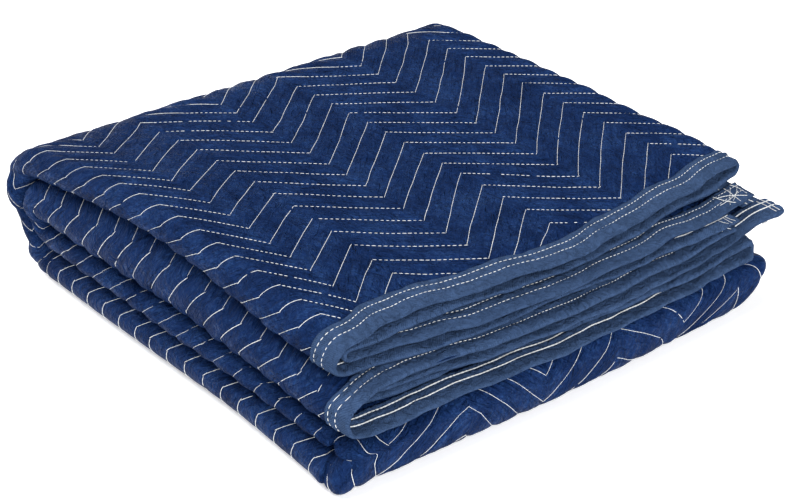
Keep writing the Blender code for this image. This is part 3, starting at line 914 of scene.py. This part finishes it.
# Thread ends and cross stitches at the two bound corners on the right: each runs from a place to a place.
looseRuns = {
    # by side of the cloth: side edge, end; from: end, edge; to: end, edge
    1: (
        ("top", "tip", 0.008, 0.003, 0.034, 0.017),
        ("top", "tip", 0.032, 0.004, 0.012, 0.020),
        ("top", "tip", 0.020, 0.002, 0.018, 0.022),
        ("top", "tip", 0.027, 0.003, 0.037, 0.020),
        ("top", "tip", 0.010, 0.012, 0.040, 0.009),
        ("top", "tip", 0.005, 0.016, 0.024, 0.006),
        ("top", "tip", 0.004, 0.006, 0.007, 0.022),
        ("second", "lower", 0.003, 0.004, 0.017, 0.012),
        ("second", "lower", 0.015, 0.002, 0.005, 0.016),
        ("second", "lower", 0.007, 0.001, 0.006, 0.021),
        ("second", "tip", 0.006, 0.002, 0.007, 0.022),
        ("second", "tip", 0.011, 0.002, 0.013, 0.022),
    ),
    -1: (
        ("top", "lower", 0.004, 0.001, 0.005, 0.021),
        ("top", "lower", 0.009, 0.001, 0.008, 0.021),
        ("top", "lower", 0.013, 0.002, 0.015, 0.021),
        ("second", "tip", 0.006, 0.002, 0.007, 0.022),
        ("second", "tip", 0.011, 0.002, 0.013, 0.022),
    ),
}


def looseThreads(name, side, material, draw):
    places = []
    for edge, end, alongFrom, inFrom, alongTo, inTo in looseRuns[side]:
        length = math.hypot(alongTo - alongFrom, inTo - inFrom)
        share = np.linspace(0, 1, round(length / thread["looseStep"]))
        bow = draw.normal() * thread["looseBow"] * np.sin(math.pi * share)
        along = alongFrom + (alongTo - alongFrom) * share + bow
        inward = inFrom + (inTo - inFrom) * share - bow
        s = along if end == "lower" else clothLength - along
        t = inward if edge == "top" else clothWidth - inward
        angle = np.arctan2(np.gradient(t), np.gradient(s))
        places.append([s, t, angle, halfAt(inward) + thread["looseLift"]])
    s, t, angle, height = np.concatenate(places, axis=1)
    length = thread["looseLap"] * thread["looseStep"]
    sizes = beadSizes(len(s), length, thread["longWidth"], thread["height"], draw)
    return stitches(name, s, t, angle, height, side, sizes, material)


# A socket that takes part in sums as a number would.
class Wire:
    def __init__(self, finish, socket):
        self.finish = finish
        self.socket = socket

    def sum(self, operation, first, second):
        return self.finish.node("ShaderNodeMath", {"operation": operation}, {0: first, 1: second})

    def __add__(self, other):
        return self.sum("ADD", self, other)

    __radd__ = __add__

    def __sub__(self, other):
        return self.sum("SUBTRACT", self, other)

    def __rsub__(self, other):
        return self.sum("SUBTRACT", other, self)

    def __mul__(self, other):
        return self.sum("MULTIPLY", self, other)

    __rmul__ = __mul__


# One material and the nodes that give it its look.
class Finish:
    def __init__(self, name):
        self.material = bpy.data.materials.new(name)
        self.material.use_nodes = True
        self.nodes = self.material.node_tree.nodes
        self.links = self.material.node_tree.links
        self.shader = self.nodes["Principled BSDF"]

    def node(self, kind, settings=None, inputs=None, output=0):
        node = self.nodes.new(kind)
        for key, value in (settings or {}).items():
            setattr(node, key, value)
        for key, value in (inputs or {}).items():
            self.feed(node.inputs[key], value)
        return Wire(self, node.outputs[output])

    def feed(self, socket, value):
        if isinstance(value, Wire):
            self.links.new(value.socket, socket)
        else:
            socket.default_value = value

    def set(self, **values):
        for key, value in values.items():
            self.feed(self.shader.inputs[key.replace("_", " ")], value)

    def flatPlace(self, scaleX, scaleY, plan="flat"):
        uv = self.node("ShaderNodeUVMap", {"uv_map": plan})
        return self.node("ShaderNodeMapping", {}, {"Vector": uv, "Scale": (scaleX, scaleY, 1)})

    def speckle(self, place, scale, detail, roughness, distortion=0.0):
        inputs = {"Scale": scale, "Detail": detail, "Roughness": roughness, "Distortion": distortion}
        return self.node("ShaderNodeTexNoise", {"noise_dimensions": "2D"}, {"Vector": place, **inputs})

    def grain(self, scale):
        place = self.node("ShaderNodeTexCoord", {}, {}, 3)
        return self.node("ShaderNodeTexNoise", {}, {"Vector": place, "Scale": scale, "Detail": 2.0})

    def ramp(self, value, low, high):
        return self.node("ShaderNodeMapRange", {}, {"Value": value, "From Min": low, "From Max": high})

    def mix(self, share, first, second):
        return self.node("ShaderNodeMix", {"data_type": "RGBA"}, {0: share, 6: first, 7: second}, 2)

    def bump(self, height, distance, strength, normal=None):
        inputs = {"Height": height, "Distance": distance, "Strength": strength}
        if normal is not None:
            inputs["Normal"] = normal
        return self.node("ShaderNodeBump", {}, inputs)


shellLook = {
    # deep is painted shade where the crease bump sinks, and also random darker patches of tone
    "deep": (0.0036, 0.0140, 0.057, 1),
    "mid": (0.0074, 0.0250, 0.098, 1),
    "midAt": (0.32, 0.68),
    # The pale flecks are painted satin sheen: lighter mottling at random, a little more on the crease ridges
    "paleFlecks": (0.0300, 0.0820, 0.226, 1),
    "paleFlecksAt": (0.54, 0.76),
    "paleFlecksShare": 0.5,
    "roughness": (0.40, 0.30, 0.14),   # bare, more on the fibres, less on the pale flecks of painted sheen
    "metallic": (0.08, 0.55),          # bare, more on the pale flecks of painted sheen
    "specular": 0.03,
    # scale, detail, roughness, distortion
    "patches": (22, 4, 0.6, 0.4),
    "fibres": (800, 3, 0.7),
    "flecks": (300, 4, 0.75, 0.6),
    "creases": (165, 3, 0.5, 0.9),
    "dents": (75, 4, 0.6, 1.2),
    # depth, strength
    "dentBump": (0.0095, 0.9),
    "creaseBump": (0.0048, 0.9),
    "fibreBump": (0.0004, 0.6),
}


def shellFinish():
    f, look = Finish("navy_shell_cloth"), shellLook
    flat = f.flatPlace(1, 1)
    patches = f.speckle(flat, *look["patches"])
    fibres = f.speckle(f.flatPlace(0.4, 1), *look["fibres"])
    flecks = f.speckle(flat, *look["flecks"])
    creases = f.speckle(f.flatPlace(0.36, 1, "rows"), *look["creases"])
    dents = f.speckle(f.flatPlace(1, 0.7), *look["dents"])
    # Darker where the crease bump sinks, as painted shade in the crease valleys, over random patches of tone.
    base = f.mix(f.ramp(patches * 0.6 + creases * 0.4, *look["midAt"]), look["deep"], look["mid"])
    # Pale flecks of painted satin sheen, at random and lighter on the crease ridges; they also make the cloth
    # more metallic and less rough.
    paleFlecks = f.ramp(flecks * 0.60 + patches * 0.35 + creases * 0.15, *look["paleFlecksAt"])
    bare, fibrous, rubbed = look["roughness"]
    f.set(Base_Color=f.mix(paleFlecks * look["paleFlecksShare"], base, look["paleFlecks"]))
    f.set(Roughness=bare + fibrous * fibres - rubbed * paleFlecks)
    f.set(Metallic=look["metallic"][0] + look["metallic"][1] * paleFlecks)
    f.set(Specular_IOR_Level=look["specular"])
    wide = f.bump(dents, *look["dentBump"])
    close = f.bump(creases, *look["creaseBump"], wide)
    f.set(Normal=f.bump(fibres, *look["fibreBump"], close))
    return f.material


tapeLook = {
    "deep": (0.0190, 0.0400, 0.094, 1),
    "mid": (0.0340, 0.0660, 0.146, 1),
    "midAt": (0.34, 0.66),
    "paleFlecks": (0.0760, 0.1250, 0.230, 1),
    "paleFlecksAt": (0.35, 0.75),
    "paleFlecksShare": 0.55,
    "roughness": (0.80, 0.15),   # bare, more on the fibres
    "specular": 0.06,
    # scale, detail, roughness, distortion
    "patches": (45, 4, 0.6),
    "fibres": (1100, 3, 0.7),
    "wrinkles": (140, 4, 0.6, 1.0),
    "weave": {"Scale": 320.0, "Distortion": 1.5, "Detail": 2.0},
    # depth, strength
    "wrinkleBump": (0.0060, 0.8),
    "weaveBump": (0.0003, 0.5),
    "fibreBump": (0.0004, 0.6),
}


def tapeFinish():
    f, look = Finish("slate_tape_twill"), tapeLook
    flat = f.flatPlace(1, 1)
    patches = f.speckle(flat, *look["patches"])
    weave = f.node("ShaderNodeTexWave", {"bands_direction": "DIAGONAL", "wave_profile": "SIN"},
                   {"Vector": flat, **look["weave"]}, 1)
    fibres = f.speckle(flat, *look["fibres"])
    wrinkles = f.speckle(flat, *look["wrinkles"])
    # Darker where the wrinkle bump sinks, as painted shade in the wrinkle valleys, over random patches of
    # tone.
    base = f.mix(f.ramp(patches * 0.5 + wrinkles * 0.5, *look["midAt"]), look["deep"], look["mid"])
    paleFlecks = f.ramp(fibres * 0.6 + weave * 0.25, *look["paleFlecksAt"])
    f.set(Base_Color=f.mix(paleFlecks * look["paleFlecksShare"], base, look["paleFlecks"]))
    f.set(Roughness=look["roughness"][0] + look["roughness"][1] * fibres)
    f.set(Specular_IOR_Level=look["specular"])
    wide = f.bump(wrinkles, *look["wrinkleBump"])
    woven = f.bump(weave, *look["weaveBump"], wide)
    f.set(Normal=f.bump(fibres, *look["fibreBump"], woven))
    return f.material


threadLook = {
    "grey": (0.52, 0.54, 0.56, 1),
    "white": (0.82, 0.83, 0.82, 1),
    "roughness": (0.6, 0.2),     # bare, more on the strands
    "sheen": 0.2,
    "strands": 900.0,
    "strandBump": (0.0002, 0.4),
}


def threadFinish():
    f, look = Finish("white_thread"), threadLook
    strands = f.grain(look["strands"])
    f.set(Base_Color=f.mix(strands, look["grey"], look["white"]))
    f.set(Roughness=look["roughness"][0] + look["roughness"][1] * strands)
    f.set(Sheen_Weight=look["sheen"])
    f.set(Normal=f.bump(strands, *look["strandBump"]))
    return f.material


studio = {
    "camera": (-1.04649, -1.29398, 0.94175),
    "yaw": 50.875,
    "pitch": 28.49,
    "lens": 90.492,
    "sensor": 36.0,
    "world": 0.20,
    "floorSize": 14.0,
    "floorGlow": 0.35,
    "floorGrain": 3.0,
    "floor": ((0.90, 0.90, 0.905, 1), (0.93, 0.93, 0.93, 1)),
}
# Large softboxes, far enough off to light the whole floor evenly.
suns = (
    # name,      from,                 strength, softness, color
    ("overhead", (-0.30, 0.30, 0.90),  2.9,      50,       (1.0, 0.99, 0.98)),
    ("back",     (-0.20, 0.80, 0.42),  0.9,      24,       (1.0, 1.0, 1.0)),
    ("front",    (-0.15, -0.85, 0.45), 3.8,      50,       (1.0, 1.0, 1.0)),
)


def floorFinish():
    f = Finish("studio_floor")
    f.set(Base_Color=f.mix(f.grain(studio["floorGrain"]), *studio["floor"]))
    f.set(Roughness=0.9, Specular_IOR_Level=0.1)
    f.set(Emission_Color=(1, 1, 1, 1), Emission_Strength=studio["floorGlow"])
    return f.material


def cameraAndLights():
    yaw, pitch = math.radians(studio["yaw"]), math.radians(studio["pitch"])
    data = bpy.data.cameras.new("view")
    data.lens = studio["lens"]
    data.sensor_width = studio["sensor"]
    camera = linked("view", data)
    camera.location = studio["camera"]
    camera.rotation_euler = (math.pi / 2 - pitch, 0, yaw - math.pi / 2)
    bpy.context.scene.camera = camera
    bpy.context.scene.view_settings.view_transform = "Standard"

    world = bpy.data.worlds.new("studio")
    bpy.context.scene.world = world
    world.use_nodes = True
    background = world.node_tree.nodes["Background"]
    background.inputs["Color"].default_value = (1.0, 1.0, 1.0, 1)
    background.inputs["Strength"].default_value = studio["world"]

    for name, place, strength, softness, color in suns:
        lamp = bpy.data.lights.new(name, "SUN")
        lamp.angle = math.radians(softness)
        lamp.energy = strength
        lamp.color = color
        lampObject = linked(name, lamp)
        lampObject.location = place
        tilt = math.atan2(math.hypot(place[0], place[1]), place[2])
        lampObject.rotation_euler = (tilt, 0, math.atan2(place[1], place[0]) + math.pi / 2)


def studioFloor():
    bm = bmesh.new()
    bmesh.ops.create_grid(bm, x_segments=2, y_segments=2, size=studio["floorSize"] / 2)
    mesh = meshOf(bm, "floor")
    mesh.materials.append(floorFinish())
    linked("floor", mesh)


def movingBlanket():
    shell = shellFinish()
    slate = tapeFinish()
    white = threadFinish()
    body = quiltedBody(shell)
    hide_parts("quilted_body")
    print("quilted shell:", len(body.data.polygons), "faces")

    clear = tape["width"] + tape["endGap"]
    tapes = (
        # name, along rows, far, from, to, seed
        ("side_binding_top", True, False, -tapeStand, clothLength + tapeStand, 31),
        ("side_binding_second", True, True, -tapeStand, clothLength + tapeStand, 32),
        ("end_binding_lower", False, False, clear, clothWidth - clear, 33),
        ("end_binding_tip", False, True, clear, clothWidth - clear, 34),
    )
    for name, alongRows, far, low, high, seed in tapes:
        step = tape["step"] if alongRows else 2 * tape["step"]
        piece = binding(name + "_tape", alongRows, far, low, high, step, seed, slate)
        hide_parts(name)
        draw = np.random.default_rng(seed)
        for kind, side in (("_stitches", 1), ("_chain", -1)):
            tapeStitches(name + kind, alongRows, far, low, high, seed, side, white, draw)
    draw = np.random.default_rng(5)
    looseThreads("corner_threads", 1, white, draw)
    looseThreads("corner_threads_under", -1, white, draw)
    print("tapes, their seams and the threads at the corners: done")

    sideStart, sideEnd, farTurn = starts["side fold"], ends["side fold"], ends["far turn"]
    turned, back = ends["top"] + thread["backReach"], ends["outer spine"]
    fronts = starts["front spine"], ends["front spine"]
    zones = (
        # name, from and to along the rows, and across them
        ("row_stitches_top", sideStart, farTurn, 0.0, turned),
        ("row_stitches_back", sideStart, farTurn, turned, back),
        ("row_stitches_under", sideEnd, farTurn, back, fronts[0]),
        ("row_stitches_front", sideEnd, farTurn, *fronts),
        ("row_stitches_sides", sideFrom, sideEnd, back, clothWidth),
        ("row_stitches_fold", sideFrom, sideStart, 0.0, back),
    )
    for name, sFrom, sTo, tFrom, tTo in zones:
        piece = rowStitches(name, sFrom, sTo, tFrom, tTo, white, draw)
        print(name, len(piece.data.polygons), "faces")


cameraAndLights()
studioFloor()
movingBlanket()
